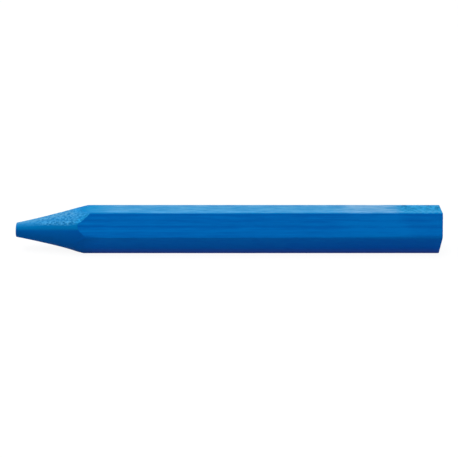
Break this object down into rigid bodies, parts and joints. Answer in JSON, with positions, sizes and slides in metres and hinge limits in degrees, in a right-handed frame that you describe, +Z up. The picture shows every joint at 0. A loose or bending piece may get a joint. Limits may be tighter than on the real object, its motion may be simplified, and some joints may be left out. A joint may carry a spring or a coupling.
{
  "type": "wax marking crayon",
  "caption": "Hexagonal bar of blue marking wax with a blunt conical point and a plain cut butt, for writing on rough or wet surfaces.",
  "frame": {"origin": "under the middle of the bar's axis, in the flat that the crayon lies on", "axes": "+X along the bar, from the point to the butt; +Z up, away from the flat it lies on"},
  "size_m": [0.1103, 0.0128, 0.0111],
  "materials": {
    "wax": "satin pigmented wax"
  },
  "bodies": {
    "root": {"crayon": "wax"}
  },
  "joints": []
}
